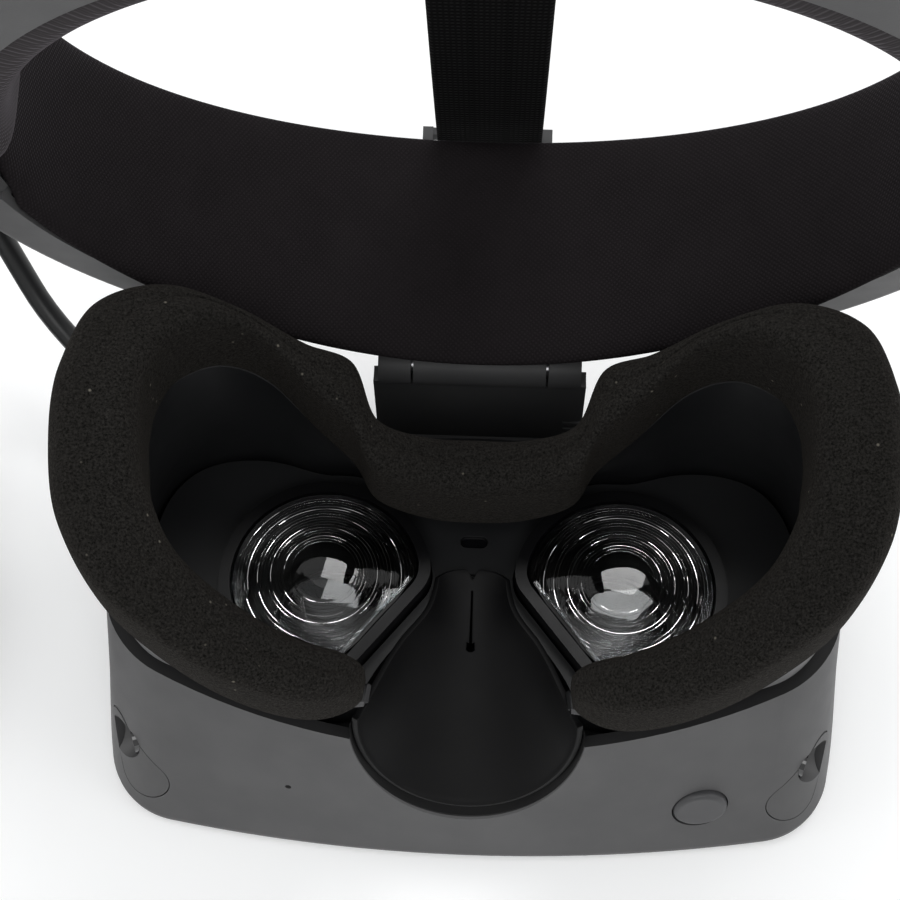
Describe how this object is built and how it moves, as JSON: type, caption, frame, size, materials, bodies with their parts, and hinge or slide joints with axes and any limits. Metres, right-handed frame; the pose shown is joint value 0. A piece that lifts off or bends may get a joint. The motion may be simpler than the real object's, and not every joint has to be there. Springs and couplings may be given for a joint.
{
  "type": "virtual reality headset",
  "caption": "Head-worn display: a visor with lenses, face foam and a depth button, hung on a rigid halo headband with a fit wheel and a long data cable.",
  "frame": {"origin": "centre of the visor's flat front face, on which the headset rests when it is put down", "axes": "+X to the wearer's right, +Y up the wearer's face, +Z back towards the wearer's head"},
  "size_m": [0.3354, 0.2107, 0.3023],
  "materials": {
    "shell_grey": "fine matt",
    "band_grey": "fine matt",
    "flap_rubber": "matt",
    "window_glass": "gloss",
    "camera_black": "matt",
    "inner_black": "matt",
    "frame_grey": "satin",
    "foam": "flocked foam",
    "lens_clear": "clear moulded",
    "ring_black": "satin",
    "structure": "matt",
    "screw_steel": "zinc",
    "display_dark": "gloss",
    "plate_aluminium": "bare",
    "board_green": "satin",
    "button_grey": "satin",
    "spring_steel": "bright",
    "arm_black": "matt",
    "pad_fabric": "fine knit",
    "speaker_dark": "matt",
    "webbing": "woven",
    "cable_black": "satin",
    "plug_metal": "nickel"
  },
  "bodies": {
    "headband": {"hinge_bracket": "arm_black", "hinge_pin": "spring_steel", "forehead_pad": "pad_fabric", "forehead_plate": "inner_black", "forehead_shell": "band_grey", "side_arm_left": "band_grey", "side_arm_right": "band_grey", "speaker_left": "speaker_dark", "speaker_right": "speaker_dark", "speaker_grilles": "speaker_dark", "rack_left": "arm_black", "rack_right": "arm_black", "strap_buckle": "arm_black", "top_strap": "webbing", "cable_clip": "arm_black", "cable_loop": "cable_black", "cable_tail": "cable_black", "cable_end": "cable_black", "cable_coil": "cable_black", "cable_tie": "arm_black", "cable_splitter": "flap_rubber", "data_branch": "cable_black", "display_branch": "cable_black", "data_plug": "flap_rubber", "display_plug": "flap_rubber", "plug_noses": "plug_metal"},
    "carriage": {"visor_arm": "arm_black"},
    "visor": {"front_shell": "shell_grey", "nose_flap": "flap_rubber", "side_bezels": "shell_grey", "camera_windows": "window_glass", "camera_modules": "camera_black", "cable_gland": "flap_rubber", "inner_housing": "inner_black", "face_frame": "frame_grey", "face_foam": "foam", "lens_panel": "inner_black", "lens_right": "lens_clear", "lens_left": "lens_clear", "lens_ring_right": "ring_black", "lens_ring_left": "ring_black", "proximity_window": "window_glass", "chassis": "structure", "chassis_screws": "screw_steel", "display_panel": "display_dark", "heat_plate": "plate_aluminium", "main_board": "board_green", "depth_rail": "structure", "button_spring": "spring_steel", "lever_pin": "spring_steel", "cable_lead": "cable_black"},
    "button": {"depth_button": "button_grey", "latch_rod": "structure"},
    "latch": {"latch_lever": "structure"},
    "rear_cradle": {"rear_shell": "band_grey", "rear_liner": "inner_black", "rear_pad": "pad_fabric", "strap_anchor": "arm_black"},
    "fit_wheel": {"fit_wheel": "button_grey", "drive_pinion": "structure"}
  },
  "joints": [
    {"name": "visor_tilt", "type": "hinge", "parent": "headband", "child": "carriage", "pos_m": [0, 0.0503, 0.0608], "axis": [1, 0, 0], "range_deg": [0, 20], "deforming": ["cable_loop"]},
    {"name": "visor_depth", "type": "slide", "parent": "carriage", "child": "visor", "axis": [0, 0, -1], "range_m": [0, 0.011], "deforming": ["cable_lead"]},
    {"name": "depth_button_press", "type": "slide", "parent": "visor", "child": "button", "axis": [-0.11, 0.958, -0.265], "range_m": [0, 0.0018], "stiffness_N_per_m": 600, "springref_m": -0.0015, "deforming": ["button_spring"]},
    {"name": "latch_turn", "type": "hinge", "parent": "visor", "child": "latch", "pos_m": [0.038, 0.0384, 0.0219], "axis": [0, 0, 1], "range_deg": [0, 7.2]},
    {"name": "cradle_slide", "type": "slide", "parent": "headband", "child": "rear_cradle", "axis": [0, -0.2521, 0.9677], "range_m": [0, 0.025], "deforming": ["rack_left", "rack_right", "top_strap"]},
    {"name": "fit_wheel_turn", "type": "hinge", "parent": "rear_cradle", "child": "fit_wheel", "pos_m": [0, 0.0088, 0.28765], "axis": [0, -0.2521, 0.9677], "range_deg": [0, 240]}
  ],
  "couplings": [
    {"joint": "latch_turn", "follows": "depth_button_press", "rad_per_m": 68.4},
    {"joint": "fit_wheel_turn", "follows": "cradle_slide", "rad_per_m": 166.67}
  ]
}
